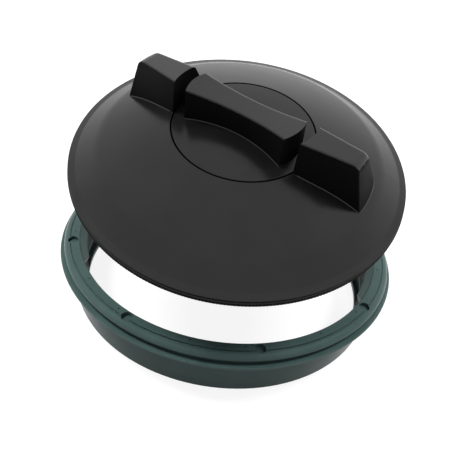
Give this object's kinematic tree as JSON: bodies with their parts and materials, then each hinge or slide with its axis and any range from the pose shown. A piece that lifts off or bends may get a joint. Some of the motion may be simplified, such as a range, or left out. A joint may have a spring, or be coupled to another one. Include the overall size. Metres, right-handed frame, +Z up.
{
  "type": "tank manway cover",
  "caption": "Round screw-down tank cover: threaded collar ring, domed black lid with a two-winged handle, and a small centre cap with its own grip.",
  "frame": {"origin": "centre of the collar at its foot", "axes": "+Z up along the collar's axis, -Y towards the front that the lifted lid is tipped to, +X to the right"},
  "size_m": [0.4, 0.4, 0.2726],
  "materials": {
    "collar_plastic": "glossy dark green moulding",
    "lid_plastic": "fine matte texture, black",
    "seal_rubber": "smooth black rubber"
  },
  "bodies": {
    "collar": {"collar_ring": "collar_plastic"},
    "lid_gasket": {"lid_seal": "seal_rubber"},
    "lid": {"lid_shell": "lid_plastic"},
    "cap_gasket": {"cap_seal": "seal_rubber"},
    "cap": {"centre_cap": "lid_plastic"}
  },
  "joints": [
    {"name": "lid_lift", "type": "hinge", "parent": "collar", "child": "lid_gasket", "pos_m": [0, -0.46677, 0.0665], "axis": [1, 0, 0], "range_deg": [-13, 0]},
    {"name": "lid_turn", "type": "hinge", "parent": "lid_gasket", "child": "lid", "pos_m": [0, -0.01196, 0.1715], "axis": [0, -0.225, 0.9744], "range_deg": [-90, 0]},
    {"name": "cap_rise", "type": "slide", "parent": "lid", "child": "cap_gasket", "axis": [0, -0.225, 0.9744], "range_m": [0, 0.012]},
    {"name": "cap_turn", "type": "hinge", "parent": "cap_gasket", "child": "cap", "pos_m": [0, -0.01196, 0.1715], "axis": [0, -0.225, 0.9744], "range_deg": [0, 540]}
  ],
  "couplings": [
    {"joint": "cap_rise", "follows": "cap_turn", "m_per_rad": 0.0012732}
  ]
}
